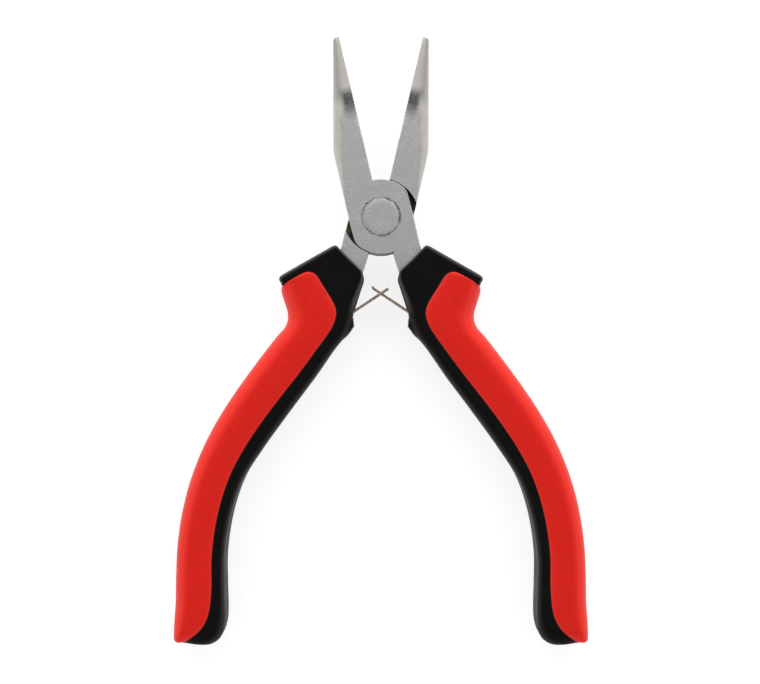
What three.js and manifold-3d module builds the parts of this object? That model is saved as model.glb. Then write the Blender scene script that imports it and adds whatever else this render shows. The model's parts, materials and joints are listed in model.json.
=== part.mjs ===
// Mini needle nose pliers: two steel halves in a riveted lap joint, two-shot grips and a pair of
// interlocking leaf springs that push the handles apart.
//
// Millimetres, +Z up. The pliers lie on their back, jaws towards +Y, open as the springs hold them.
// The origin is under the middle of the bounding box, on the surface they lie on.
//
// Each half is drawn closed, in its own frame: the pivot is the origin, the gripping face lies on
// x = 0, the jaw is on the -X side and the handle on the +X side. The back half is the same set
// of shapes turned over about Y, so that its jaw is on the right and its handle on the left.
import * as THREE from "three";
import { mergeVertices } from "three/addons/utils/BufferGeometryUtils.js";
import Module from "manifold-3d";

const wasm = await Module();
wasm.setup();

// ---- Driving dimensions ---------------------------------------------------------------------
const OPEN_ANGLE = 26; // between the gripping faces, as the springs hold them, in degrees
const HANDLE_REACH = 97.2; // pivot to the handles' ends
const JAW_REACH = 39.6; // pivot to the jaws' tips

const HEAD_THICKNESS = 8; // over both lap plates
const HEAD_HALF_WIDTH = 6.7; // pivot to the flats on either side of the head
const PLATE_RADIUS = 8.05; // round ends of a lap plate
const PLATE_GAP = 0.1; // between the two lap plates
const TURNING_CLEARANCE = 0.12; // between a lap plate and the shoulder it turns against

const RIVET_RADIUS = 2.6;
const RIVET_HEAD_RADIUS = 4.1;
const RIVET_HEAD_DEPTH = 1.1; // straight part of a head
const RIVET_CONE_DEPTH = 0.9; // taper from the head to the shank
const RUNNING_CLEARANCE = 0.05; // round the rivet

const JAW_GAP = 0.1; // between the gripping faces, closed
const JAW_SHOULDER = 15.8; // above this, the outer side narrows towards the tip
const NOSE_START = 25; // above this, the flat sides fall away
const NOSE_LENGTH = 3.5; // steeper run at the start of the nose
const NOSE_THICKNESS = 6.1; // at the end of that run
const TIP_WIDTH = 1.35; // one jaw
const TIP_THICKNESS = 2.5;
const TEETH_START = 17;
const TOOTH_PITCH = 0.8;
const TOOTH_DEPTH = 0.16;

const TANG_THICKNESS = 5; // inside the grip
const TANG_END = 80; // pivot to the tang's end

const CORE_THICKNESS = 10.6; // hard black moulding
const COVER_THICKNESS = 11.4; // soft red moulding, proud of the black one
const COVER_WALL = 1.3; // front and back
const COVER_SIDE_WALL = 1.7; // along the outside of the handle
const MOULD_GAP = 0.1; // between pieces that are moulded or pressed together
const GRIP_NECK = 30; // pivot to where the grip's long curve starts

const LEAF_THICKNESS = 0.5;
const LEAF_WIDTH = 4.8;
const LEAF_REACH = 7.55; // from its bend to where the leaves cross
const LEAF_OVERRUN = 1.5; // from the crossing to the tip
const SLOT_WIDTH = 2.3;
const SLOT_LENGTH = 2.9;
const SLOT_PAST_CROSSING = 0.7;
const TONGUE_WIDTH = 1.7;
const TONGUE_HEAD_WIDTH = 3.1;

const PIN_RADIUS = 0.8; // rivet that holds a leaf to its tang
const PIN_HEAD_RADIUS = 1.3;
const PIN_HEAD_HEIGHT = 0.45;
const PIN_DEPTH = 2.4; // into the tang

// ---- Places in a half's own frame -------------------------------------------------------------
const leafBend = new THREE.Vector2(1.55, -21.2);
const leafEnd = new THREE.Vector2(2.45, -27);
const gripLength = HANDLE_REACH - GRIP_NECK;
const alongGrip = (share) => -GRIP_NECK - share * gripLength;
const halfOpen = THREE.MathUtils.degToRad(OPEN_ANGLE / 2);

// ---- Materials ------------------------------------------------------------------------------
const material = (color, roughness, metalness) =>
  new THREE.MeshStandardMaterial({ color, roughness, metalness });
const groundSteel = material(0xa9a9a7, 0.45, 1);
const rivetSteel = material(0xadadaa, 0.42, 1);
const springSteel = material(0x8a7a6a, 0.35, 1);
const blackPlastic = material(0x161615, 0.55, 0);
const redRubber = material(0xdd2a22, 0.6, 0);

// ---- Solids -----------------------------------------------------------------------------------
function solid(geometry) {
  const bare = geometry.clone();
  bare.deleteAttribute("normal");
  bare.deleteAttribute("uv");
  const merged = mergeVertices(bare, 1e-4);
  return new wasm.Manifold(
    new wasm.Mesh({
      numProp: 3,
      vertProperties: merged.attributes.position.array,
      triVerts: new Uint32Array(merged.index.array),
    }),
  );
}

function mesh(name, piece, look) {
  const made = piece.getMesh();
  const geometry = new THREE.BufferGeometry();
  geometry.setAttribute(
    "position",
    new THREE.BufferAttribute(new Float32Array(made.vertProperties), 3),
  );
  geometry.setIndex(new THREE.BufferAttribute(new Uint32Array(made.triVerts), 1));
  geometry.computeVertexNormals();
  const result = new THREE.Mesh(geometry, look);
  result.name = name;
  return result;
}

// A flat outline, given thickness from low to high along Z.
function prism(outline, low, high) {
  const shape = outline instanceof THREE.Shape ? outline : new THREE.Shape(outline);
  const depth = high - low;
  const geometry = new THREE.ExtrudeGeometry(shape, { depth, bevelEnabled: false, curveSegments: 6 });
  return solid(geometry.translate(0, 0, low));
}

// An outline in (y, z), given thickness from low to high along X.
function sidePrism(outline, low, high) {
  const geometry = new THREE.ExtrudeGeometry(new THREE.Shape(outline), {
    depth: high - low,
    bevelEnabled: false,
  });
  geometry.translate(0, 0, low);
  // (x, y, z) of the extrusion become (y, z, x) of the part.
  const turn = new THREE.Matrix4().set(0, 0, 1, 0, 1, 0, 0, 0, 0, 1, 0, 0, 0, 0, 0, 1);
  return solid(geometry.applyMatrix4(turn));
}

const disc = (radius, low, high) =>
  solid(
    new THREE.CylinderGeometry(radius, radius, high - low, 96)
      .rotateX(Math.PI / 2)
      .translate(0, 0, (low + high) / 2),
  );

const box = (x0, x1, y0, y1, z0, z1) =>
  solid(
    new THREE.BoxGeometry(x1 - x0, y1 - y0, z1 - z0).translate(
      (x0 + x1) / 2,
      (y0 + y1) / 2,
      (z0 + z1) / 2,
    ),
  );

// Joins rings of equal length into one closed skin. Rings run anticlockwise seen from the last one.
function loft(rings) {
  const count = rings[0].length;
  const positions = rings.flat().flatMap((p) => [p.x, p.y, p.z]);
  const index = [];
  for (let ring = 0; ring < rings.length - 1; ring++)
    for (let i = 0; i < count; i++) {
      const a = ring * count + i;
      const b = ring * count + ((i + 1) % count);
      index.push(a, b, a + count, b, b + count, a + count);
    }
  const last = (rings.length - 1) * count;
  for (let i = 1; i < count - 1; i++) index.push(0, i + 1, i, last, last + i, last + i + 1);
  const geometry = new THREE.BufferGeometry();
  geometry.setAttribute("position", new THREE.Float32BufferAttribute(positions, 3));
  geometry.setIndex(index);
  return solid(geometry);
}

// A closed outline of points, moved outwards by a distance. The outline runs anticlockwise.
function grown(points, distance) {
  return points.map((point, i) => {
    const before = points[(i + points.length - 1) % points.length];
    const after = points[(i + 1) % points.length];
    const a = point.clone().sub(before).normalize();
    const b = after.clone().sub(point).normalize();
    const reach = distance / Math.max(1 + a.dot(b), 0.5);
    return new THREE.Vector2(point.x + (a.y + b.y) * reach, point.y - (a.x + b.x) * reach);
  });
}

// A smooth curve x(y) through a few [y, x] pairs, which run from high y to low y.
function edge(pairs) {
  const rising = [...pairs].reverse();
  const curve = new THREE.CubicInterpolant(
    new Float32Array(rising.map(([y]) => y)),
    new Float32Array(rising.map(([, x]) => x)),
    1,
    new Float32Array(1),
  );
  return (y) => curve.evaluate(y)[0];
}

const vectors = (pairs) => pairs.map(([x, y]) => new THREE.Vector2(x, y));

// ---- Steel halves -------------------------------------------------------------------------------
const jawSlope = (HEAD_HALF_WIDTH - TIP_WIDTH) / (JAW_REACH - JAW_SHOULDER);
const jawWidth = (y) => HEAD_HALF_WIDTH - Math.max(0, y - JAW_SHOULDER) * jawSlope;

function jawHalfThickness(y) {
  const noseTop = NOSE_START + NOSE_LENGTH;
  if (y <= NOSE_START) return HEAD_THICKNESS / 2;
  if (y <= noseTop)
    return THREE.MathUtils.mapLinear(y, NOSE_START, noseTop, HEAD_THICKNESS / 2, NOSE_THICKNESS / 2);
  return THREE.MathUtils.mapLinear(y, noseTop, JAW_REACH, NOSE_THICKNESS / 2, TIP_THICKNESS / 2);
}

// One section across a jaw: a flat gripping face, flat sides and a rounded outer side. The
// rounding is roundX deep across the jaw and roundZ deep through its thickness.
function jawSection(y, roundX, roundZ) {
  const steps = 6;
  const width = jawWidth(y);
  const half = jawHalfThickness(y);
  const ring = [new THREE.Vector3(-JAW_GAP / 2, y, -half)];
  const corner = (side, from, to) => {
    for (let i = 0; i <= steps; i++) {
      const turn = THREE.MathUtils.lerp(from, to, i / steps);
      const x = -(width - roundX) - roundX * Math.sin(turn);
      const z = side * (half - roundZ + roundZ * Math.cos(turn));
      ring.push(new THREE.Vector3(x, y, z));
    }
  };
  corner(-1, 0, Math.PI / 2);
  corner(1, Math.PI / 2, 0);
  ring.push(new THREE.Vector3(-JAW_GAP / 2, y, half));
  return ring;
}

function jaw() {
  const noseTop = NOSE_START + NOSE_LENGTH;
  const rounded = (y, shareX, shareZ) =>
    jawSection(y, shareX * jawWidth(y), shareZ * jawHalfThickness(y));
  const rings = [
    jawSection(4, 0.15, 0.15),
    jawSection(PLATE_RADIUS, 0.6, 0.7),
    rounded(JAW_SHOULDER, 0.25, 0.5),
    rounded(NOSE_START, 0.42, 0.7),
    rounded(noseTop, 0.55, 0.85),
    rounded(JAW_REACH - 3, 0.75, 0.93),
    rounded(JAW_REACH, 0.75, 0.93),
  ];
  return loft(rings);
}

// Saw teeth across the gripping face, as one solid to cut away.
function teeth() {
  const count = Math.floor((JAW_REACH - TEETH_START - TOOTH_PITCH) / TOOTH_PITCH);
  const face = -JAW_GAP / 2;
  const points = [[1, TEETH_START]];
  for (let i = 0; i < count; i++) {
    const y = TEETH_START + i * TOOTH_PITCH;
    points.push([face + 0.02, y], [face - TOOTH_DEPTH, y + TOOTH_PITCH / 2]);
  }
  const end = TEETH_START + count * TOOTH_PITCH;
  points.push([face + 0.02, end], [1, end]);
  return prism(vectors(points).reverse(), -HEAD_THICKNESS, HEAD_THICKNESS);
}

// The shank that leaves the head and the tang that the grip is moulded on, seen from the front.
function tangOutline() {
  const shape = new THREE.Shape();
  const inner = [
    [5.2, -31],
    [10.3, -43],
    [13.9, -51],
    [16.6, -58.5],
    [17.9, -65],
    [18.1, -71],
    [17.4, -78],
  ];
  const outer = [
    [22.1, -71],
    [21.8, -64],
    [20.5, -57],
    [18.4, -50],
    [15.2, -42],
    [11.7, -34],
    [8.6, -25],
    [7.2, -18],
  ];
  const onTang = (y) => (y < -GRIP_NECK ? alongGrip((-y - GRIP_NECK) / 67.2) : y);
  const seat = LEAF_THICKNESS / 2 + 0.1; // from the leaf's middle to the steel it is riveted to
  shape.moveTo(0.85, -5);
  shape.lineTo(0.85, -PLATE_RADIUS);
  shape.lineTo(1.2, -12.6);
  shape.lineTo(leafBend.x + seat, leafBend.y);
  shape.lineTo(leafEnd.x + seat, leafEnd.y - 0.4);
  shape.splineThru(vectors(inner.map(([x, y]) => [x, onTang(y)])));
  shape.splineThru(vectors([[18.1, onTang(-TANG_END)], [20.2, onTang(-TANG_END)]]));
  shape.splineThru(vectors(outer.map(([x, y]) => [x, onTang(y)])));
  shape.lineTo(HEAD_HALF_WIDTH, -12);
  shape.lineTo(HEAD_HALF_WIDTH, 0);
  return shape.getPoints(3);
}

// The shank and tang, with an allowance all round for the cavity that holds them.
function tang(allowance) {
  const thick = HEAD_THICKNESS / 2 + allowance;
  const thin = TANG_THICKNESS / 2 + allowance;
  const low = -HANDLE_REACH - 20;
  const side = vectors([
    [1, -thick],
    [1, thick],
    [-13, thick],
    [-28, thin],
    [low, thin],
    [low, -thin],
    [-28, -thin],
    [-13, -thick],
  ]);
  return prism(grown(tangOutline(), allowance), -thick, thick).intersect(sidePrism(side, -5, 60));
}

// The pivot rivet, or with a clearance the hole that it turns in.
function rivet(clearance) {
  const top = HEAD_THICKNESS / 2 + (clearance ? 1 : 0);
  const seat = HEAD_THICKNESS / 2 - RIVET_HEAD_DEPTH - clearance;
  const head = RIVET_HEAD_RADIUS + clearance;
  const shank = RIVET_RADIUS + clearance;
  const profile = [
    [0, -top],
    [head, -top],
    [head, -seat],
    [shank, -seat + RIVET_CONE_DEPTH],
    [shank, seat - RIVET_CONE_DEPTH],
    [head, seat],
    [head, top],
    [0, top],
  ];
  return solid(new THREE.LatheGeometry(vectors(profile), 72).rotateX(Math.PI / 2));
}

// The rivet that holds a leaf, along the normal of the tang's inner side, or with a clearance
// its hole and the pocket over its head.
function pin(clearance) {
  const start = -PIN_DEPTH - clearance;
  const under = LEAF_THICKNESS + 0.07;
  const top = under + PIN_HEAD_HEIGHT + clearance;
  const shank = PIN_RADIUS + clearance;
  const head = PIN_HEAD_RADIUS + clearance;
  const profile = [
    [0, start],
    [shank, start],
    [shank, under + 0.05 - clearance],
    [head, under + 0.05 - clearance],
    [head, under + 0.25],
    [head * 0.75, top],
    [0, top],
  ];
  const along = leafEnd.clone().sub(leafBend).normalize();
  const middle = leafBend.clone().lerp(leafEnd, 0.55);
  const seat = LEAF_THICKNESS / 2 + 0.04;
  const geometry = new THREE.LatheGeometry(vectors(profile), 24);
  geometry.rotateZ(Math.PI / 2 + Math.atan2(along.x, -along.y));
  geometry.translate(middle.x - along.y * seat, middle.y + along.x * seat, 0);
  return solid(geometry);
}

function steelHalf() {
  const half = HEAD_THICKNESS / 2;
  const plate = disc(PLATE_RADIUS, PLATE_GAP / 2, half).intersect(
    box(-HEAD_HALF_WIDTH, HEAD_HALF_WIDTH, -20, 20, -half, half),
  );
  const recess = disc(PLATE_RADIUS + TURNING_CLEARANCE, -half - 1, PLATE_GAP / 2);
  return jaw()
    .add(tang(0))
    .subtract(recess)
    .add(plate)
    .subtract(teeth())
    .subtract(rivet(RUNNING_CLEARANCE))
    .subtract(pin(RUNNING_CLEARANCE));
}

// ---- Grips ----------------------------------------------------------------------------------------
const gripInner = edge([
  [-16, 1.0],
  [-22, 1.7],
  [alongGrip(0), 3.55],
  [alongGrip(0.18), 8.6],
  [alongGrip(0.3), 12.1],
  [alongGrip(0.42), 15.2],
  [alongGrip(0.54), 16.5],
  [alongGrip(0.66), 16.25],
  [alongGrip(0.78), 14.75],
  [alongGrip(0.9), 12.85],
  [alongGrip(1.03), 12.6],
]);
const gripOuter = edge([
  [-13, 18.6],
  [-19, 17.35],
  [-22, 16.1],
  [-25.5, 14.45],
  [alongGrip(0), 16.1],
  [alongGrip(0.18), 21.4],
  [alongGrip(0.3), 24.3],
  [alongGrip(0.42), 26.3],
  [alongGrip(0.54), 27.1],
  [alongGrip(0.66), 26.9],
  [alongGrip(0.78), 25.7],
  [alongGrip(0.9), 23.95],
  [alongGrip(1.03), 22.6],
]);

// One section across a grip at y: a rectangle with its own corner radius on either side.
function gripSection(y, low, high, half, innerRadius, outerRadius) {
  const steps = 5;
  const ring = [];
  const corner = (x, z, radius, from) => {
    for (let i = 0; i <= steps; i++) {
      const turn = from + (i / steps) * (Math.PI / 2);
      ring.push(new THREE.Vector3(x + radius * Math.cos(turn), y, z + radius * Math.sin(turn)));
    }
  };
  corner(high - outerRadius, half - outerRadius, outerRadius, 0);
  corner(low + innerRadius, half - innerRadius, innerRadius, Math.PI / 2);
  corner(low + innerRadius, -half + innerRadius, innerRadius, Math.PI);
  corner(high - outerRadius, -half + outerRadius, outerRadius, 1.5 * Math.PI);
  return ring;
}

// A grip's body between two heights. Its lower end is rounded by endRadius; inset moves its inner
// and outer sides in.
function gripBody({ top, bottom, half, innerInset, outerInset, innerRadius, outerRadius, endRadius }) {
  const rings = [];
  const section = (y, pull) =>
    rings.push(
      gripSection(
        y,
        gripInner(y) + innerInset + pull,
        gripOuter(y) - outerInset - pull,
        half - pull / 2,
        Math.max(innerRadius - pull, 0.4),
        Math.max(outerRadius - pull, 0.4),
      ),
    );
  // Close rings round the tight bend under the guard, wider ones along the handle.
  const step = (y) => (y > -GRIP_NECK ? 1.2 : 3.6);
  for (let y = top; y > bottom + endRadius + 1; y -= step(y)) section(y, 0);
  for (let i = 0; i <= 4; i++) {
    const turn = (i / 4) * (Math.PI / 2) * 0.9;
    section(bottom + endRadius * (1 - Math.sin(turn)), endRadius * (1 - Math.cos(turn)));
  }
  return loft(rings);
}

// The angular guard at the top of the black moulding, with its edges rounded.
function guard() {
  const round = 0.8;
  const outline = vectors([
    [1.2, -12.2],
    [0.6, -13.6],
    [1.15, -21.5],
    [4.4, -31],
    [13, -31],
    [17.2, -18.8],
    [18.35, -17.4],
    [8.3, -8.25],
    [6.65, -8.8],
  ]);
  const geometry = new THREE.ExtrudeGeometry(new THREE.Shape(outline), {
    depth: CORE_THICKNESS - 2 * round,
    bevelThickness: round,
    bevelSize: round,
    bevelOffset: -round,
    bevelSegments: 3,
  });
  return solid(geometry.translate(0, 0, -CORE_THICKNESS / 2 + round));
}

// The swelling on the inside of the grip that covers a leaf's root and its rivet.
function boss() {
  const outline = vectors([
    [5, -21.6],
    [1.4, -21.6],
    [0.95, -22.1],
    [0.65, -23.7],
    [1.6, -26.4],
    [2.3, -27.4],
    [5, -31],
  ]);
  const half = LEAF_WIDTH / 2 + 1.3;
  return prism(outline, -half, half);
}

// The red moulding seen from the front, running past the outside of the grip.
function coverOutline() {
  const shape = new THREE.Shape();
  shape.moveTo(24, -23.8);
  shape.lineTo(14.2, -16.5);
  shape.splineThru(
    vectors([
      [12.4, -15.4],
      [10.8, -15.25],
      [9.4, -16.1],
      [7.4, -18.2],
      [5.5, -20.3],
      [4.85, -22.3],
      [5.2, -24.9],
      [7.05, alongGrip(0)],
      [12.45, alongGrip(0.18)],
      [16.0, alongGrip(0.3)],
      [18.65, alongGrip(0.42)],
      [19.8, alongGrip(0.54)],
      [19.5, alongGrip(0.66)],
      [18.05, alongGrip(0.78)],
      [16.9, alongGrip(0.88)],
      [17.2, alongGrip(0.925)],
      [18.2, alongGrip(0.96)],
      [20.3, alongGrip(1)],
    ]),
  );
  shape.lineTo(21.5, alongGrip(1) - 1.5);
  shape.lineTo(22, alongGrip(1) - 12);
  shape.lineTo(60, alongGrip(1) - 12);
  shape.lineTo(60, -40);
  return shape.getPoints(3);
}

// The black moulding's surface under the red one.
const underCover = (allowance) =>
  gripBody({
    top: -14,
    bottom: -HANDLE_REACH + 1.4 - allowance,
    half: COVER_THICKNESS / 2 - COVER_WALL + allowance,
    innerInset: 0,
    outerInset: COVER_SIDE_WALL - allowance,
    innerRadius: 1.6,
    outerRadius: 3,
    endRadius: 1.5,
  });

function blackCore(leafSlot) {
  const half = CORE_THICKNESS / 2;
  const body = gripBody({
    top: -22,
    bottom: -HANDLE_REACH,
    half,
    innerInset: 0,
    outerInset: 0.3,
    innerRadius: 1.7,
    outerRadius: 3,
    endRadius: 4,
  });
  const pocket = prism(grown(coverOutline(), MOULD_GAP), -half - 5, half + 5).subtract(underCover(0));
  // The leaf folds into a groove along the guard's inner side as the handles close.
  const groove = vectors([
    [-6, -21.6],
    [1.85, -21.6],
    [1.85, -20.9],
    [0.75, -13],
    [-6, -13],
  ]);
  const grooveHalf = LEAF_WIDTH / 2 + 0.3;
  return body
    .add(guard())
    .add(boss())
    .subtract(pocket)
    .subtract(tang(MOULD_GAP))
    .subtract(leafSlot)
    .subtract(pin(MOULD_GAP))
    .subtract(prism(groove, -grooveHalf, grooveHalf));
}

function redCover() {
  const skin = gripBody({
    top: -14,
    bottom: -HANDLE_REACH - 0.7,
    half: COVER_THICKNESS / 2,
    innerInset: 0,
    outerInset: 0,
    innerRadius: 1.5,
    outerRadius: 4,
    endRadius: 1.2,
  });
  return skin.intersect(prism(coverOutline(), -20, 20)).subtract(underCover(MOULD_GAP));
}

// ---- Leaf springs -----------------------------------------------------------------------------------
// The two leaves and the handles make a toggle: seen from the front, the crossing stays on the
// pliers' centre line, LEAF_REACH from either bend.
function bladeDirection() {
  const swing = Math.atan2(leafBend.x, -leafBend.y) + halfOpen;
  const lean = Math.asin((leafBend.length() * Math.sin(swing)) / LEAF_REACH) - halfOpen;
  return new THREE.Vector2(-Math.sin(lean), Math.cos(lean));
}

// A strip of the leaf's steel along its middle line, from its riveted end to a distance past the
// bend, with an allowance all round.
function strip(reach, allowance) {
  const blade = bladeDirection();
  const root = leafEnd.clone().sub(leafBend).normalize();
  const bendRun = 0.9;
  const corner = new THREE.QuadraticBezierCurve(
    leafBend.clone().addScaledVector(root, bendRun),
    leafBend,
    leafBend.clone().addScaledVector(blade, bendRun),
  );
  const middle = [
    leafEnd.clone().addScaledVector(root, allowance),
    ...corner.getPoints(4),
    leafBend.clone().addScaledVector(blade, reach),
  ];
  const offset = LEAF_THICKNESS / 2 + allowance;
  const side = (sign) =>
    middle.map((point, i) => {
      const before = middle[Math.max(i - 1, 0)];
      const after = middle[Math.min(i + 1, middle.length - 1)];
      const along = after.clone().sub(before).normalize();
      return new THREE.Vector2(point.x + along.y * offset * sign, point.y - along.x * offset * sign);
    });
  const half = LEAF_WIDTH / 2 + allowance;
  return prism([...side(1), ...side(-1).reverse()], -half, half);
}

// A box across the blade, between two distances from the bend and two heights.
function acrossBlade(from, to, low, high) {
  const blade = bladeDirection();
  const geometry = new THREE.BoxGeometry(4, to - from, high - low);
  geometry.translate(0, (from + to) / 2, (low + high) / 2);
  geometry.rotateZ(Math.atan2(-blade.x, blade.y));
  geometry.translate(leafBend.x, leafBend.y, 0);
  return solid(geometry);
}

function slottedLeaf() {
  const end = LEAF_REACH + SLOT_PAST_CROSSING;
  return strip(LEAF_REACH + LEAF_OVERRUN, 0)
    .subtract(acrossBlade(end - SLOT_LENGTH, end, -SLOT_WIDTH / 2, SLOT_WIDTH / 2))
    .subtract(pin(RUNNING_CLEARANCE));
}

function tongueLeaf() {
  const head = LEAF_REACH + SLOT_PAST_CROSSING + 0.05;
  const shoulder = head - SLOT_LENGTH;
  let leaf = strip(LEAF_REACH + LEAF_OVERRUN + 0.2, 0).subtract(pin(RUNNING_CLEARANCE));
  for (const side of [-1, 1]) {
    const cut = (from, to, width) => {
      const [low, high] = [(side * width) / 2, side * LEAF_WIDTH].sort((a, b) => a - b);
      leaf = leaf.subtract(acrossBlade(from, to, low, high));
    };
    cut(shoulder, head, TONGUE_WIDTH);
    cut(head - 0.01, LEAF_REACH + 5, TONGUE_HEAD_WIDTH);
  }
  return leaf;
}

// ---- Assembly ----------------------------------------------------------------------------------------
// The leaf's slot in the grip ends just past its bend, where the leaf comes out.
const leafSlot = strip(0.6, MOULD_GAP);

function half(jawSide, handleSide, leaf) {
  const group = new THREE.Group();
  group.add(
    mesh(jawSide + "_half", steelHalf(), groundSteel),
    mesh(handleSide + "_grip_core", blackCore(leafSlot), blackPlastic),
    mesh(handleSide + "_grip_cover", redCover(), redRubber),
    mesh(handleSide + "_leaf_spring", leaf, springSteel),
    mesh(handleSide + "_spring_rivet", pin(0), springSteel),
  );
  return group;
}

const frontHalf = half("front", "right", tongueLeaf());
frontHalf.rotation.z = halfOpen;

const turnedOver = half("back", "left", slottedLeaf());
turnedOver.rotation.y = Math.PI;
const backHalf = new THREE.Group();
backHalf.add(turnedOver);
backHalf.rotation.z = -halfOpen;

const pliers = new THREE.Group();
pliers.add(frontHalf, backHalf, mesh("pivot_rivet", rivet(0), rivetSteel));
const bounds = new THREE.Box3().setFromObject(pliers, true);
const middle = bounds.getCenter(new THREE.Vector3());
pliers.position.set(-middle.x, -middle.y, -bounds.min.z);

export default pliers;
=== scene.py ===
"""Small needle nose pliers, lying open: two forged halves, a pivot rivet, two-shot grips and a
pair of interlocking leaf springs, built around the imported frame."""

import json
import math

import bmesh
import bpy
from bpy.props import FloatProperty, FloatVectorProperty, PointerProperty
from mathutils import Matrix, Vector


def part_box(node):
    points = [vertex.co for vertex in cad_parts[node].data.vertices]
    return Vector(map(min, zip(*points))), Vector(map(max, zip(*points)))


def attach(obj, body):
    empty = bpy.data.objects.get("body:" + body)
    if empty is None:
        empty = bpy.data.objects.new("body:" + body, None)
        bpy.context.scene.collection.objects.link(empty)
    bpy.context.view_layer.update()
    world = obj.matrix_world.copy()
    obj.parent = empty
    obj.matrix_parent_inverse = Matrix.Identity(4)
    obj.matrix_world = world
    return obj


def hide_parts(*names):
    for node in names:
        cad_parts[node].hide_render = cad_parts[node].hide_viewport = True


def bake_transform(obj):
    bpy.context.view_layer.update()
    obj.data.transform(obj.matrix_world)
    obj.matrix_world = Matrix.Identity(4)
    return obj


bl_info = {
    "name": "Needle Nose Pliers",
    "version": (1, 0, 0),
    "blender": (4, 5, 0),
    "location": "View3D > Sidebar > Pliers",
    "description": "Builds small needle nose pliers with two-colour grips and leaf springs",
    "category": "Add Mesh",
}

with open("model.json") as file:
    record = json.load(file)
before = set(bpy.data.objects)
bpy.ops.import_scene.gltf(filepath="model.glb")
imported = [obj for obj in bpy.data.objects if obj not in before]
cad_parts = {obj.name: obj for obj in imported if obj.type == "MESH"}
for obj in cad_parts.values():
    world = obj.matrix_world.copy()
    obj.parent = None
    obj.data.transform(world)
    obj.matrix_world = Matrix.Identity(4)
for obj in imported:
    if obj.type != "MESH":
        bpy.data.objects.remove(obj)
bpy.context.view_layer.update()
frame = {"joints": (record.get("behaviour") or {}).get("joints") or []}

MM = 0.001
JOINTS = {joint["name"]: joint for joint in frame["joints"]}
PIVOT = Vector(JOINTS["plier_hinge"]["pos_m"])
OPEN_ANGLE = math.radians(JOINTS["plier_hinge"]["range_deg"][1])


def thickness_of(node):
    """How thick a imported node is, in metres."""
    low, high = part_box(node)
    return high.z - low.z


def length(name, description, default):
    """A length that a user may change."""
    return FloatProperty(name=name, description=description, default=default, unit="LENGTH")


def colour(name, description, default):
    """A colour that a user may change."""
    return FloatVectorProperty(
        name=name, description=description, default=default, subtype="COLOR"
    )


# ---- Sizes and colours a user may change ---------------------


class PliersSteel(bpy.types.PropertyGroup):
    """The forged halves and the rivet that joins them."""

    jaw_reach: length("Jaw reach", "Pivot to the jaws' tips", 0.0396)
    head_half_width: length(
        "Head half width", "Pivot to the flats on either side of the head", 0.0067
    )
    head_thickness: length("Head thickness", "Over both lap plates", thickness_of("front_half"))
    plate_radius: length("Plate radius", "Round ends of a lap plate", 0.0079)
    rivet_radius: length("Rivet radius", "Radius of the flush rivet head", 0.00397)
    tooth_pitch: length("Tooth pitch", "Distance between teeth", 0.0008)
    tooth_depth: length("Tooth depth", "Depth of the teeth", 0.00016)
    flat_colour: colour("Ground flats", "Colour of the ground flats", (0.565, 0.565, 0.56))
    band_colour: colour(
        "Polished bands", "Colour of the polished outer bands and noses", (0.55, 0.525, 0.485)
    )
    bearing_colour: colour(
        "Bearing faces", "Colour of the oiled faces inside the joint", (0.06, 0.046, 0.034)
    )


class PliersGrips(bpy.types.PropertyGroup):
    """The two shots of each grip."""

    core_thickness: length(
        "Core thickness", "Thickness of the hard moulding", thickness_of("right_grip_core")
    )
    cover_thickness: length(
        "Cover thickness", "Thickness over the soft moulding", thickness_of("right_grip_cover")
    )
    cover_wall: length(
        "Cover wall", "Thickness of the soft moulding's front and back walls", 0.0013
    )
    core_colour: colour("Hard moulding", "Colour of the hard moulding", (0.0028, 0.0028, 0.0026))
    cover_colour: colour("Soft moulding", "Colour of the soft moulding", (0.80, 0.015, 0.009))


class PliersSprings(bpy.types.PropertyGroup):
    """The leaf springs and their rivets."""

    leaf_width: length("Leaf width", "Width of the strip", 0.0048)
    leaf_thickness: length("Leaf thickness", "Thickness of the strip", 0.0005)
    leaf_reach: length("Leaf reach", "From a leaf's bend to where the leaves cross", 0.00755)
    leaf_colour: colour("Spring steel", "Colour of the spring steel", (0.37, 0.30, 0.23))


class PliersStage(bpy.types.PropertyGroup):
    """Floor, lights and camera."""

    floor_colour: colour("Floor", "Colour of the floor", (0.35, 0.35, 0.35))
    camera_height: length("Camera height", "Height of the camera above the pliers", 0.31)
    view_width: length("View width", "Width of the view at the pliers", 0.1623)


# ---- Mesh helpers --------------------------------------------


def half_frame(half):
    """From a half's own closed frame, in millimetres, to the frame of the whole, in metres.

    In its own frame a half's pivot is the origin, its gripping face lies on x = 0, its jaw is on
    the -X side and its handle on the +X side. The back half is turned over about Y."""
    turn = Matrix.Rotation(OPEN_ANGLE / 2, 4, "Z")
    if half == "back":
        turn = turn.inverted() @ Matrix.Rotation(math.pi, 4, "Y")
    return Matrix.Translation(PIVOT) @ turn @ Matrix.Scale(MM, 4)


def loft(bm, rings):
    """Extrudes a closed ring of points through a list of rings and caps both ends."""
    loop = [bm.verts.new(point) for point in rings[0]]
    count = len(loop)
    edges = [bm.edges.new((loop[i], loop[(i + 1) % count])) for i in range(count)]
    bm.faces.new(loop)
    for ring in rings[1:]:
        made = bmesh.ops.extrude_edge_only(bm, edges=edges)["geom"]
        fresh = {g for g in made if isinstance(g, bmesh.types.BMVert)}
        loop = [
            next(e.other_vert(v) for e in v.link_edges if e.other_vert(v) in fresh) for v in loop
        ]
        edges = [
            g
            for g in made
            if isinstance(g, bmesh.types.BMEdge) and all(v in fresh for v in g.verts)
        ]
        for vert, point in zip(loop, ring):
            vert.co = point
    bm.faces.new(loop)
    bmesh.ops.recalc_face_normals(bm, faces=bm.faces)
    return bm


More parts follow.
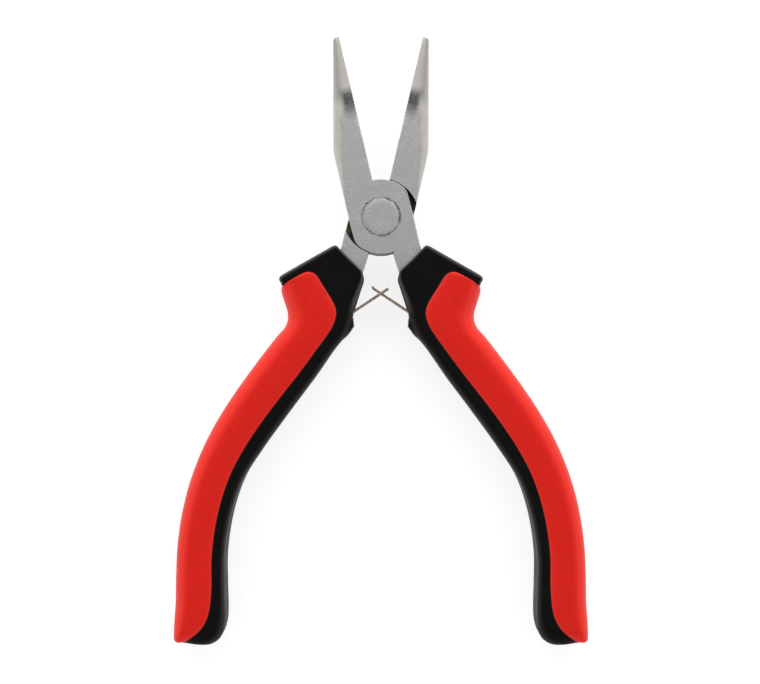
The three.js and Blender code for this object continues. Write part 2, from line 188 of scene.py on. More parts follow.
def prism(outline, low, high):
    """An outline of (x, y) points, extruded from low to high along Z."""
    bm = bmesh.new()
    face = bm.faces.new([bm.verts.new((x, y, low)) for x, y in outline])
    made = bmesh.ops.extrude_face_region(bm, geom=[face])["geom"]
    top = [g for g in made if isinstance(g, bmesh.types.BMVert)]
    bmesh.ops.translate(bm, verts=top, vec=(0, 0, high - low))
    bmesh.ops.recalc_face_normals(bm, faces=bm.faces)
    return bm


def disc(radius, low, high, segments=160):
    """A cylinder about the pivot."""
    step = 2 * math.pi / segments
    outline = [
        (radius * math.cos(i * step), radius * math.sin(i * step)) for i in range(segments)
    ]
    return prism(outline, low, high)


def lathe(profile, segments=96):
    """A profile of (radius, height) points, spun about Z."""
    bm = bmesh.new()
    verts = [bm.verts.new((radius, 0, height)) for radius, height in profile]
    edges = [bm.edges.new(pair) for pair in zip(verts, verts[1:])]
    bmesh.ops.spin(
        bm,
        geom=verts + edges,
        axis=(0, 0, 1),
        cent=(0, 0, 0),
        angle=2 * math.pi,
        steps=segments,
        use_merge=True,
    )
    bmesh.ops.remove_doubles(bm, verts=bm.verts, dist=1e-5)
    bmesh.ops.recalc_face_normals(bm, faces=bm.faces)
    return bm


def round_edges(bm, radius, segments=2, angle=40):
    """Bevels every edge sharper than an angle."""
    sharp = [
        e
        for e in bm.edges
        if len(e.link_faces) == 2 and e.calc_face_angle(0) > math.radians(angle)
    ]
    bmesh.ops.bevel(
        bm,
        geom=sharp,
        offset=radius,
        offset_type="OFFSET",
        segments=segments,
        profile=0.5,
        affect="EDGES",
        clamp_overlap=True,
        material=-1,
    )
    return bm


def workpiece(bm):
    """A throwaway object that holds a bmesh."""
    mesh = bpy.data.meshes.new("workpiece")
    bm.to_mesh(mesh)
    bm.free()
    obj = bpy.data.objects.new("workpiece", mesh)
    bpy.context.scene.collection.objects.link(obj)
    return obj


def worked(base, *steps):
    """A bmesh after a list of ("UNION" | "DIFFERENCE", bmesh) steps."""
    objects = [workpiece(base)]
    for operation, tool in steps:
        objects.append(workpiece(tool))
        modifier = objects[0].modifiers.new(operation, "BOOLEAN")
        modifier.operation = operation
        modifier.solver = "EXACT"
        modifier.object = objects[-1]
    depsgraph = bpy.context.evaluated_depsgraph_get()
    mesh = bpy.data.meshes.new_from_object(objects[0].evaluated_get(depsgraph))
    bm = bmesh.new()
    bm.from_mesh(mesh)
    for obj in objects:
        used = obj.data
        bpy.data.objects.remove(obj)
        bpy.data.meshes.remove(used)
    bpy.data.meshes.remove(mesh)
    bmesh.ops.remove_doubles(bm, verts=bm.verts, dist=1e-4)
    bmesh.ops.dissolve_degenerate(bm, edges=bm.edges, dist=1e-4)
    return bm


def piece(bm, name, half, materials, sharp_angle=35):
    """Finishes a bmesh drawn in a half's own frame as an object in the frame of the whole."""
    own = bm.verts.layers.float_vector.new("own_frame")
    for vert in bm.verts:
        vert[own] = vert.co * MM
    bmesh.ops.transform(bm, matrix=half_frame(half), verts=bm.verts)
    for face in bm.faces:
        face.smooth = True
    mesh = bpy.data.meshes.new(name)
    bm.to_mesh(mesh)
    bm.free()
    mesh.set_sharp_from_angle(angle=math.radians(sharp_angle))
    for material in materials:
        mesh.materials.append(material)
    obj = bpy.data.objects.new(name, mesh)
    bpy.context.scene.collection.objects.link(obj)
    normals = obj.modifiers.new("Weighted normals", "WEIGHTED_NORMAL")
    normals.keep_sharp = True
    return obj


def through(points, steps):
    """A smooth curve through rows of numbers, with a number of steps between rows."""
    rows = [points[0], *points, points[-1]]
    out = []
    for a, b, c, d in zip(rows, rows[1:], rows[2:], rows[3:]):
        for i in range(steps):
            t = i / steps
            out.append(
                [
                    0.5
                    * (
                        2 * q
                        + (r - p) * t
                        + (2 * p - 5 * q + 4 * r - s) * t * t
                        + (3 * q - p - 3 * r + s) * t**3
                    )
                    for p, q, r, s in zip(a, b, c, d)
                ]
            )
    out.append(list(points[-1]))
    return out


def level(knots, at):
    """The value at a place along (place, value) knots, on straight lines between them."""
    if at <= knots[0][0]:
        return knots[0][1]
    for (a, low), (b, high) in zip(knots, knots[1:]):
        if at <= b:
            return low + (high - low) * (at - a) / (b - a)
    return knots[-1][1]


# ---- Steel halves --------------------------------------------

JAW_GAP = 0.1  # between the gripping faces, closed
PLATE_GAP = 0.1  # between the lap plates
TURNING_CLEARANCE = 0.12  # between a lap plate and the shoulder round it
SHOULDER = 15.8  # where a jaw's outer side starts to narrow
TIP_WIDTH = 1.35
TEETH_START = 17
GRIND_EDGE = 0.12  # broken edge left by grinding
NOSE_EDGE = 27.3  # where the ground flat ends and the polished nose starts
NOSE_RUN = 2.2  # over which the band widens into the nose
TIP_ROUND = 0.9  # rounding of a jaw's tip

# Half thickness of a jaw, over its distance from the pivot.
NOSE = [
    (22.5, 4.0),
    (24.0, 3.965),
    (25.3, 3.85),
    (26.4, 3.64),
    (27.3, 3.36),
    (28.0, 3.13),
    (28.7, 2.97),
    (29.6, 2.81),
    (34.0, 2.13),
    (39.6, 1.25),
]
# Width and depth of the polished band along a jaw's outer side.
BAND_WIDTH = [(4.4, 0.02), (8, 0.4), (10, 0.8), (12.5, 1.4), (15.5, 1.95), (19, 2.12), (28, 2.1)]
BAND_DEPTH = [(4.4, 0.05), (8, 0.9), (12.6, 1.7), (16, 2.2), (24, 2.6), (28, 2.5)]


def jaw_width(y, steel):
    """Width of a jaw at a distance from the pivot, with its shoulder eased."""
    width = steel.head_half_width / MM
    slope = (width - TIP_WIDTH) / (steel.jaw_reach / MM - SHOULDER)
    ease = 1.2
    past = y - SHOULDER
    if past <= -ease:
        return width
    if past >= ease:
        return width - slope * past
    return width - slope * (past + ease) ** 2 / (4 * ease)


def jaw_ring(y, steel, tooth=0.0, inset=0.0, roll=1.0):
    """A section across a jaw: toothed gripping face, ground flat, polished band, outer side."""
    half = level(NOSE, y) * (steel.head_thickness / MM) / 8 * roll
    width = jaw_width(y, steel) - inset
    nose = max(0.0, min(1.0, (y - NOSE_EDGE) / NOSE_RUN))
    nose = nose * nose * (3 - 2 * nose)
    band = (1 - nose) * level(BAND_WIDTH, y) + nose * 0.62 * width
    deep = (1 - nose) * level(BAND_DEPTH, y) + nose * 0.9 * half
    deep = min(deep, 0.95 * half)
    slope = 0.26 * (1 - nose) + 0.12 * nose
    face = -JAW_GAP / 2 - tooth - inset
    edge = min(GRIND_EDGE, 0.1 * half)
    upper = [
        (face, 0),
        (face, half - edge),
        (face - 0.3 * edge, half - 0.3 * edge),
        (face - edge, half),
    ]
    middle = band - width
    upper += [(face - edge + (middle - face + edge) * k / 3, half) for k in (1, 2)]
    # The band leaves the flat at a crisp edge and rolls over into the outer side.
    for i in range(13):
        t = math.sin(i / 12 * math.pi / 2)
        upper.append((middle - band * t, half - deep * (slope * t + (1 - slope) * t**5)))
    upper.append((-width, 0))
    lower = [(x, -z) for x, z in reversed(upper[1:-1])]
    return [Vector((x, y, z)) for x, z in upper + lower]


def jaw(steel):
    """One jaw, from inside the head to its rolled tip."""
    reach = steel.jaw_reach / MM
    pitch = steel.tooth_pitch / MM
    depth = steel.tooth_depth / MM
    rings = [jaw_ring(3 + 1.0 * i, steel) for i in range(12)]
    rings += [jaw_ring(14.6 + 0.4 * i, steel) for i in range(6)]
    teeth = int((reach - TIP_ROUND - 0.1 - TEETH_START) / pitch)
    for i in range(teeth):
        y = TEETH_START + i * pitch
        rings.append(jaw_ring(y, steel))
        rings.append(jaw_ring(y + pitch * 0.5, steel, tooth=depth))
    rings.append(jaw_ring(TEETH_START + teeth * pitch, steel))
    for i in range(1, 8):
        turn = i / 7 * math.pi / 2
        past = TIP_ROUND * math.sin(turn)
        inset = 0.16 * (1 - math.cos(turn))
        rings.append(
            jaw_ring(reach - TIP_ROUND + past, steel, 0, inset, 1 - 0.62 * (1 - math.cos(turn)))
        )
    return loft(bmesh.new(), rings)


# Sides of the shank and the tang, in a half's own frame, from the head down.
TANG_INNER = [
    (0.85, -2),
    (0.85, -8.1),
    (1.2, -12.6),
    (1.9, -21.2),
    (2.8, -27.4),
    (5.2, -31.0),
    (10.3, -43.0),
    (13.9, -51.0),
    (16.6, -58.5),
    (17.9, -65.0),
    (18.1, -71.0),
    (17.9, -78.0),
    (18.3, -80.0),
]
TANG_OUTER = [
    (20.3, -80.0),
    (21.6, -76.0),
    (22.1, -71.0),
    (21.8, -64.0),
    (20.5, -57.0),
    (18.4, -50.0),
    (15.2, -42.0),
    (11.7, -34.0),
    (8.6, -25.0),
    (7.2, -18.0),
]


def tang(steel, allowance=0.0):
    """The shank and tang, or with an allowance the cavity that holds them in the grip."""
    width = steel.head_half_width / MM + allowance
    half = steel.head_thickness / MM / 2 + allowance
    inner = [(x - allowance, y) for x, y in TANG_INNER]
    outer = [(x + allowance, y) for x, y in TANG_OUTER]
    bm = prism([*inner, *outer, (width, -12.0), (width, -2.0)], -half, half)
    for y in (-13.0, -28.0):
        bmesh.ops.bisect_plane(
            bm,
            geom=bm.verts[:] + bm.edges[:] + bm.faces[:],
            plane_co=(0, y, 0),
            plane_no=(0, 1, 0),
        )
    thin = (2.5 + allowance) / half
    for vert in bm.verts:
        vert.co.z *= level([(-28, thin), (-13, 1.0)], vert.co.y)
    return bm if allowance else round_edges(bm, 0.25, 2, 50)


def lap_plate(steel):
    """The front lap plate: a disc with flats on its two sides and its edges broken."""
    width = steel.head_half_width / MM
    radius = steel.plate_radius / MM
    outline = []
    for i in range(160):
        a = i / 160 * 2 * math.pi
        side = radius * math.cos(a)
        # A soft least of the disc and the flat, which rounds the corner between them.
        eased = (max(abs(side), 0.01) ** -20 + width**-20) ** (-1 / 20)
        outline.append((math.copysign(eased, side), radius * math.sin(a)))
    return round_edges(prism(outline, PLATE_GAP / 2, steel.head_thickness / MM / 2), 0.16, 3, 50)


def rivet_hole(steel):
    """The hole for the pivot rivet, with its mouth broken."""
    half = steel.head_thickness / MM / 2
    head = steel.rivet_radius / MM + 0.03
    return lathe(
        [
            (0, half + 1),
            (head + 1.05, half + 1),
            (head + 0.05, half),
            (head, half - 0.06),
            (head, half - 1.15),
            (2.65, half - 2.0),
            (2.65, -half),
            (0, -half),
        ]
    )


def forging(steel):
    """A half's steel: jaw, lap plate, shank and tang."""
    half = steel.head_thickness / MM / 2
    recess = disc(steel.plate_radius / MM + TURNING_CLEARANCE, -half - 1, PLATE_GAP / 2)
    bm = worked(
        jaw(steel),
        ("UNION", tang(steel)),
        ("DIFFERENCE", recess),
        ("UNION", lap_plate(steel)),
        ("DIFFERENCE", rivet_hole(steel)),
    )
    radius = steel.plate_radius / MM
    for face in bm.faces:
        x, y, z = face.calc_center_median()
        out = math.hypot(x, y)
        level_face = abs(face.normal.z) > 0.75 and abs(z) > half - 1.2
        band = level(BAND_WIDTH, y) - jaw_width(y, steel)
        flat = y <= 4 or (y < NOSE_EDGE and x > band - 0.01)
        in_joint = 0.02 - half < z < PLATE_GAP and out < radius + TURNING_CLEARANCE + 0.05
        rim = z > 0 and abs(face.normal.z) < 0.6 and radius - 0.1 < out < radius + 0.05
        if in_joint or rim:
            face.material_index = 2
        elif level_face and flat:
            face.material_index = 0
        else:
            face.material_index = 1
    return bm


def pivot_rivet(steel):
    """The flush pivot rivet."""
    half = steel.head_thickness / MM / 2
    head = steel.rivet_radius / MM
    upper = [
        (0, half - 0.01),
        (head - 1.2, half - 0.01),
        (head - 0.08, half - 0.012),
        (head - 0.02, half - 0.03),
        (head, half - 0.07),
        (head, half - 1.1),
        (2.6, half - 2.0),
    ]
    return lathe(upper + [(radius, -height) for radius, height in reversed(upper)], 128)


# ---- Grips ---------------------------------------------------

# Lines across a grip, from the inner side over the seam to the outer side, and the thickness there
# as a share of the full one. Those of the guard lie above the soft moulding.
GUARD_LINES = [
    (7.85, -7.72, 12.6, -12.1, 18.35, -17.4, 1),
    (6.3, -9.0, 12.1, -12.9, 17.65, -18.15, 1),
    (4.0, -10.45, 12.3, -13.9, 17.25, -18.5, 1),
]
GRIP_LINES = [
    (1.2, -12.2, 11.6, -13.75, 17.3, -19.05, 1),
    (0.6, -13.6, 10.05, -15.35, 17.2, -19.8, 1),
    (0.72, -15.6, 8.6, -16.85, 16.85, -20.65, 1),
    (0.88, -17.6, 7.05, -18.4, 16.3, -21.6, 1),
    (1.02, -19.4, 5.7, -19.8, 15.65, -22.7, 1),
    (1.12, -21.0, 4.8, -21.1, 15.0, -23.8, 1),
    (1.2, -22.6, 4.4, -22.5, 14.6, -24.9, 1),
    (1.45, -24.6, 4.5, -24.3, 14.45, -25.9, 1),
    (2.1, -26.9, 5.1, -26.4, 14.8, -27.6, 1),
    (3.55, -30, 6.6, -30, 16.1, -30, 1),
    (5.9, -36, 9.2, -36, 18.85, -36, 1),
    (8.55, -42, 12.0, -42, 21.4, -42, 1),
    (11.15, -48, 14.65, -48, 23.65, -48, 1),
    (13.65, -54, 16.9, -54, 25.4, -54, 1),
    (15.8, -60, 18.5, -60, 26.55, -60, 1),
    (16.65, -66, 19.15, -66, 27.1, -66, 1),
    (16.65, -72, 19.1, -72, 27.05, -72, 1),
    (15.95, -78, 18.4, -78, 26.45, -78, 1),
    (14.5, -84, 17.05, -84, 25.35, -84, 1),
    (13.2, -89, 16.4, -89, 24.2, -89.3, 1),
    (12.75, -91.8, 16.8, -92.0, 23.7, -92.4, 1),
    (13.05, -94.2, 17.8, -94.1, 23.3, -94.7, 0.97),
    (14.6, -96.0, 18.9, -95.5, 23.0, -96.1, 0.9),
    (16.8, -96.7, 19.9, -96.6, 22.7, -97.1, 0.78),
    (18.9, -96.95, 20.8, -97.2, 22.0, -97.55, 0.55),
]
GUARD_ROUND = 0.9  # rounding of the guard's upper end
GUARD_EDGE = 0.7  # rounding of the guard's outer side
SEAM_CORNER = 2.4  # radius of the seam's upper corner
TOP_ROUND = 0.4  # rounding of the soft moulding's upper end
# How far the boss over a leaf's root stands out, and how deep the leaf's groove is, along Y.
BOSS = [(-27.4, 0), (-26.0, 0.45), (-23.75, 0.9), (-23.4, 0.7), (-22.3, 0.25), (-21.9, 0)]
GROOVE = [(-21.8, 0), (-21.6, 0.75), (-13.4, 0.2), (-13.0, 0)]
BOSS_HALF = 3.4
GROOVE_HALF = 2.7


def across(line):
    """The inner, seam and outer points of a line across a grip, and its share of thickness."""
    return Vector(line[0:2]), Vector(line[2:4]), Vector(line[4:6]), line[6]


def rounding(radius, distance):
    """How far a rounded corner stands back from its side, at a distance from the corner."""
    left = max(0.0, 1 - distance / radius)
    return radius * (1 - math.sqrt(1 - left * left))


def grip_lines():
    """The lines across a grip below its guard, closer together round the seam's upper corner.

    Each ends with its distance down the seam from that corner, which is rounded."""
    lines = through(GRIP_LINES, 5)
    first, second = lines[:2]
    close = [0, 0.02, 0.07, 0.16, 0.3, 0.5, 0.74]
    lines = [[a + (b - a) * t for a, b in zip(first, second)] for t in close] + lines[1:]
    corner = Vector(first[2:4])
    for line in lines:
        line[6] = min(line[6], 1)
        line.append((Vector(line[2:4]) - corner).length)
    return lines


def ring_of(upper):
    """Closes a list of (plan point, height) over the front with the same over the back."""
    lower = [(plan, -z) for plan, z in reversed(upper[1:-1])]
    return [Vector((plan.x, plan.y, z)) for plan, z in upper + lower]


def core_ring(line, half, guard=False, inset=0.0, round_in=1.4):
    """A section of the hard moulding. Under the soft one it is cut back on the outer side."""
    inner, seam, outer, share = across(line)
    inward = (seam - inner).normalized()
    outward = (outer - seam).normalized()
    inner = inner + inward * inset
    half = half * share - inset
    width = (seam - inner).length
    corner = seam
    if not guard:
        seam = seam + outward * rounding(SEAM_CORNER, line[7])
    turn = min(round_in, 0.45 * width, 0.8 * half)
    stand = level(BOSS, inner.y) if not guard else 0
    dip = level(GROOVE, inner.y) if not guard else 0
    side = Vector((1, 0))
    upper = [
        (inner + side * (dip - stand), 0),
        (inner + side * (dip - stand), min(GROOVE_HALF - 0.05, 0.5 * half)),
        (inner - side * stand, min(GROOVE_HALF + 0.1, 0.55 * half)),
        (inner - side * stand, min(BOSS_HALF, 0.64 * half)),
        (inner, half - turn),
    ]
    for i in range(1, 6):
        a = i / 5 * math.pi / 2
        upper.append((inner + inward * turn * (1 - math.cos(a)), half - turn * (1 - math.sin(a))))
    top = inner + inward * turn
    upper += [(top.lerp(corner, 0.35), half), (top.lerp(corner, 0.7), half)]
    upper.append((corner - inward * 0.05, half))
    if guard:
        end = outer - outward * inset
        run = (end - seam).length
        upper += [(seam + outward * run * k, half) for k in (0.3, 0.32, 0.5, 0.7)]
        upper += [
            (end - outward * GUARD_EDGE, half),
            (end - outward * GUARD_EDGE * 0.5, half - GUARD_EDGE * 0.134),
            (end - outward * GUARD_EDGE * 0.134, half - GUARD_EDGE * 0.5),
            (end, half - GUARD_EDGE),
            (end, 0),
        ]
        return ring_of(upper)
    run = (outer - seam).length
    run = max(run - 1.8, 0.3 * run)
    under = half - 0.95 * share
    upper += [
        (seam - outward * 0.02, half),
        (seam + outward * min(0.1, 0.1 * run), half - 0.12),
        (seam + outward * min(0.12, 0.12 * run), under),
        (seam + outward * run * 0.4, under),
        (seam + outward * run * 0.62, under),
        (seam + outward * run * 0.85, under * 0.78),
        (seam + outward * run * 0.95, under * 0.6),
        (seam + outward * run * 0.99, under * 0.3),
        (seam + outward * run, 0),
    ]
    return ring_of(upper)


def hard_moulding(steel, grips):
    """The black shot of a grip, with its guard, boss and leaf groove and the tang's cavity."""
    half = grips.core_thickness / MM / 2
    first = GUARD_LINES[0]
    along = Vector((first[4] - first[0], first[5] - first[1])).normalized()
    fall = Vector((along.y, -along.x))
    rings = []
    for i in range(5):
        a = i / 4 * math.pi / 2
        depth = GUARD_ROUND * (1 - math.cos(a))
        line = [first[k] + fall[k % 2] * depth for k in range(6)] + [1]
        rings.append(core_ring(line, half, True, GUARD_ROUND * (1 - math.sin(a)), 0.6))
    # The guard's lines below its rounded end, the last just above the soft moulding.
    lines = grip_lines()
    inner, seam, outer, _ = across(lines[0])
    last = [*inner, *(seam - fall * 0.08), *(outer - fall * 0.15 - along * 0.25), 1]
    for line in [*GUARD_LINES[1:], last]:
        rings.append(core_ring(line, half, True, 0, 0.6))
    for line in lines:
        rings.append(core_ring(line, half, round_in=0.6 + 1.6 * min(1, line[7] / 14)))
    return worked(loft(bmesh.new(), rings), ("DIFFERENCE", tang(steel, 0.1)))


def cover_ring(line, half, wall, inset=0.0):
    """A section of the soft moulding: lip, slightly crowned face, rounded outer side."""
    _, seam, outer, share = across(line)
    outward = (outer - seam).normalized()
    seam = seam + outward * (rounding(SEAM_CORNER, line[7]) + inset * 0.6)
    width = (outer - seam).length - inset
    top = half * share - inset
    under = (half - wall) * share
    depth = min(1.6, 0.42 * width)
    crest = 0.5 * width

    def at(distance, z):
        return (seam + outward * distance, z)

    def crown(distance):
        away = 1 - distance / crest
        return at(distance, top - 0.38 * share * away * away)

    lip = min(0.5, 0.2 * width)
    upper = [(0, 0.85), (0.12, 0.6), (0.42, 0.42)]
    upper = [at(lip * k, top - drop * share) for k, drop in upper]
    upper += [crown(lip + (crest - lip) * k) for k in (0, 0.25, 0.5, 0.75)]
    for i in range(12):
        a = i / 12 * math.pi / 2
        upper.append(
            at(crest + (width - crest) * math.sin(a) ** 0.8, top * math.cos(a) ** 0.8)
        )
    upper.append(at(width, 0))
    inner = [
        at(width - depth, 0),
        at(width - depth, under * 0.38),
        at(width - depth * 1.25, under * 0.7),
        at(max(width - depth - 2.6, 0.55 * width), under),
        at(0.3 * width, under),
        at(0.02 * width, under),
    ]
    outside = upper + [(plan, -z) for plan, z in reversed(upper[:-1])]
    inside = [(plan, -z) for plan, z in reversed(inner)] + inner[1:]
    return [Vector((plan.x, plan.y, z)) for plan, z in outside + inside]


def soft_moulding(grips):
    """The red shot of a grip, a wall round the outer side of the hard one."""
    half = grips.cover_thickness / MM / 2
    wall = grips.cover_wall / MM
    lines = grip_lines()
    rings = [cover_ring(line, half, wall, rounding(TOP_ROUND, line[7])) for line in lines[:-1]]
    rings.append(cover_ring(lines[-1], half, wall, 0.1))
    return loft(bmesh.new(), rings)


# ---- Leaf springs --------------------------------------------

LEAF_BEND = Vector((1.55, -21.2))
LEAF_END = Vector((2.45, -27.0))
LEAF_OVERRUN = 1.85  # from the crossing to the tip
SLOT_HALF = 1.15
SLOT_LENGTH = 3.3
PAST_CROSSING = 1.3  # of the slot's length
TONGUE_HALF = 0.85
HOOK_HALF = 1.55
BEND_RUN = 0.9
BEND_STEPS = 8


def blade_direction(springs):
    """The way a leaf points past its bend, so that the two cross on the centre line."""
    reach = springs.leaf_reach / MM
    swing = math.atan2(LEAF_BEND.x, -LEAF_BEND.y) + OPEN_ANGLE / 2
    lean = math.asin(LEAF_BEND.length * math.sin(swing) / reach) - OPEN_ANGLE / 2
    return Vector((-math.sin(lean), math.cos(lean)))


def leaf_path(springs, hooked):
    """Points along the middle of a leaf, from its riveted end to its tip."""
    blade = blade_direction(springs)
    root = (LEAF_END - LEAF_BEND).normalized()
    start = LEAF_BEND + root * BEND_RUN
    end = LEAF_BEND + blade * BEND_RUN
    points = [LEAF_END]
    for i in range(BEND_STEPS + 1):
        t = i / BEND_STEPS
        points.append(start * (1 - t) ** 2 + LEAF_BEND * 2 * t * (1 - t) + end * t * t)
    reach = springs.leaf_reach / MM + LEAF_OVERRUN
    tip = LEAF_BEND + blade * reach
    if not hooked:
        return [*points, tip]
    # The tip curls over by most of a right angle.
    curl = 0.45
    aside = Vector((-blade.y, blade.x))
    centre = tip + aside * -curl
    for i in range(5):
        a = i / 4 * math.radians(70)
        points.append(centre + aside * curl * math.cos(a) + blade * curl * math.sin(a))
    return points


def leaf(springs, tongue):
    """A leaf spring: one has a slot, and the other a tongue with a wider hooked head."""
    path = leaf_path(springs, tongue)
    lengths = [0.0]
    for a, b in zip(path, path[1:]):
        lengths.append(lengths[-1] + (b - a).length)
    crossing = lengths[BEND_STEPS // 2 + 1] + springs.leaf_reach / MM
    slot = (crossing + PAST_CROSSING - SLOT_LENGTH, crossing + PAST_CROSSING)
    along = sorted({*slot, *(lengths[-1] * i / 44 for i in range(45)), *lengths})
    half = springs.leaf_width / MM / 2
    over = [-half, -HOOK_HALF, -SLOT_HALF, -TONGUE_HALF, TONGUE_HALF, SLOT_HALF, HOOK_HALF, half]

    bm = bmesh.new()
    bmesh.ops.create_grid(bm, x_segments=len(along) - 1, y_segments=len(over) - 1, size=1)
    for vert in bm.verts:
        i = round((vert.co.x + 1) / 2 * (len(along) - 1))
        j = round((vert.co.y + 1) / 2 * (len(over) - 1))
        vert.co = (along[i], over[j], 0)

    def waste(face):
        middle = face.calc_center_median()
        if tongue and middle.x > slot[1]:
            return abs(middle.y) > HOOK_HALF
        if not slot[0] < middle.x < slot[1]:
            return False
        return abs(middle.y) > TONGUE_HALF if tongue else abs(middle.y) < SLOT_HALF

    bmesh.ops.delete(bm, geom=[f for f in bm.faces if waste(f)], context="FACES")

    def normal(i):
        a, b = path[max(i - 1, 0)], path[min(i + 1, len(path) - 1)]
        step = (b - a).normalized()
        return Vector((-step.y, step.x))

    thickness = springs.leaf_thickness / MM
    for vert in bm.verts:
        u, v = vert.co.x, vert.co.y
        i = max(k for k in range(len(lengths) - 1) if lengths[k] <= u + 1e-6)
        t = (u - lengths[i]) / (lengths[i + 1] - lengths[i])
        plan = path[i].lerp(path[i + 1], t)
        out = normal(i).lerp(normal(i + 1), t)
        plan = plan - out * thickness / 2
        vert.co = (plan.x, plan.y, v)
    bmesh.ops.recalc_face_normals(bm, faces=bm.faces)
    facing = sum((f.normal.to_2d().dot(normal(len(path) // 2)) for f in bm.faces), 0.0)
    bmesh.ops.solidify(bm, geom=bm.faces[:], thickness=-thickness if facing > 0 else thickness)
    bmesh.ops.recalc_face_normals(bm, faces=bm.faces)
    return round_edges(bm, 0.06, 2, 60)


def spring_rivet(springs):
    """The small rivet that holds a leaf to its tang."""
    thickness = springs.leaf_thickness / MM
    under = thickness + 0.07
    profile = [(0, -2.3), (0.7, -2.3), (0.8, -2.2), (0.8, under), (1.22, under), (1.3, under + 0.08)]
    for i in range(1, 7):
        a = i / 6 * math.pi / 2
        profile.append((1.3 * math.cos(a), under + 0.08 + 0.37 * math.sin(a)))
    profile[-1] = (0, profile[-1][1])
    bm = lathe(profile, 48)
    along = (LEAF_END - LEAF_BEND).normalized()
    middle = LEAF_BEND.lerp(LEAF_END, 0.55)
    out = Vector((along.y, -along.x, 0))
    seat = middle.to_3d() - out * (thickness / 2 + 0.04)
    turn = Vector((0, 0, 1)).rotation_difference(out).to_matrix().to_4x4()
    bmesh.ops.transform(bm, matrix=Matrix.Translation(seat) @ turn, verts=bm.verts)
    return bm


# ---- Materials -----------------------------------------------

STAIN_RADIUS = 0.004  # of the stained ring round the rivet
# Colour of the painted shade on the noses, a dark reflection painted into the steel.
NOSE_PAINTED_SHADE = (0.06, 0.06, 0.058)
# Painted tones of the hard moulding: lighter on its sides, and painted highlights on its rounded
# edges and round the guard.
CORE_SIDE_PAINTED_LIGHT = (0.012, 0.012, 0.011)
CORE_PAINTED_HIGHLIGHT = (0.028, 0.026, 0.023)
GUARD_PAINTED_HIGHLIGHT = (0.1, 0.1, 0.097)


class Finish:
    """A material that starts as a Principled shader, with helpers for the nodes in front of it."""

    def __init__(self, name, **sockets):
        self.material = bpy.data.materials.new(name)
        self.material.use_nodes = True
        self.tree = self.material.node_tree
        self.shader = self.tree.nodes["Principled BSDF"]
        for socket, value in sockets.items():
            self.shader.inputs[socket.replace("_", " ")].default_value = value
        self.object_space = self.node("TexCoord").outputs["Object"]
        self._own = None
        self._level = None

    def node(self, kind, inputs=(), **settings):
        """A shader node with its settings made and each input linked or given its value."""
        made = self.tree.nodes.new("ShaderNode" + kind)
        for setting, value in settings.items():
            setattr(made, setting, value)
        for socket, value in dict(inputs).items():
            if isinstance(value, bpy.types.NodeSocket):
                self.tree.links.new(value, made.inputs[socket])
            else:
                made.inputs[socket].default_value = value
        return made

    @property
    def own_frame(self):
        """The place in the half's own frame, in metres."""
        if self._own is None:
            self._own = self.node("Attribute", attribute_name="own_frame").outputs["Vector"]
        return self._own

    @property
    def level_part(self):
        """How level the surface is: 1 on the front and back, 0 on the sides."""
        if self._level is None:
            normal = self.node("NewGeometry").outputs["Normal"]
            self._level = self.math("ABSOLUTE", self.split(normal)[2])
        return self._level

    def stretched(self, vector, scale):
        return self.node("Mapping", {"Vector": vector, "Scale": scale}).outputs["Vector"]

    def noise(self, vector, scale, detail=2.0, roughness=0.5):
        inputs = {"Vector": vector, "Scale": scale, "Detail": detail, "Roughness": roughness}
        return self.node("TexNoise", inputs).outputs["Fac"]

    def voronoi(self, vector, scale):
        return self.node("TexVoronoi", {"Vector": vector, "Scale": scale}).outputs["Distance"]

    def ranged(self, value, low, high, to_low=0.0, to_high=1.0, smooth=False):
        sockets = ("Value", "From Min", "From Max", "To Min", "To Max")
        inputs = dict(zip(sockets, (value, low, high, to_low, to_high)))
        steps = "SMOOTHSTEP" if smooth else "LINEAR"
        return self.node("MapRange", inputs, interpolation_type=steps).outputs["Result"]

    def math(self, operation, a, b=0):
        return self.node("Math", {0: a, 1: b}, operation=operation).outputs[0]

    def weighted(self, a, share_a, b, share_b):
        return self.math("ADD", self.math("MULTIPLY", a, share_a), self.math("MULTIPLY", b, share_b))

    def split(self, vector):
        return self.node("SeparateXYZ", {0: vector}).outputs

    def mixed(self, factor, a, b):
        """Two colours mixed, each a socket or a tuple."""
        a, b = ((*c, 1) if isinstance(c, tuple) else c for c in (a, b))
        # A node that mixes colours takes them in sockets 6 and 7, and gives the result in 2.
        return self.node("Mix", {0: factor, 6: a, 7: b}, data_type="RGBA").outputs[2]

    def done(self, base, roughness, height, strength, distance):
        """Connects the colour, the roughness and the bump, and gives the material."""
        inputs = {"Height": height, "Strength": strength, "Distance": distance}
        normal = self.node("Bump", inputs).outputs["Normal"]
        for socket, value in (("Base Color", base), ("Roughness", roughness), ("Normal", normal)):
            self.tree.links.new(value, self.shader.inputs[socket])
        return self.material


def tint(colour, factor):
    return tuple(channel * factor for channel in colour)


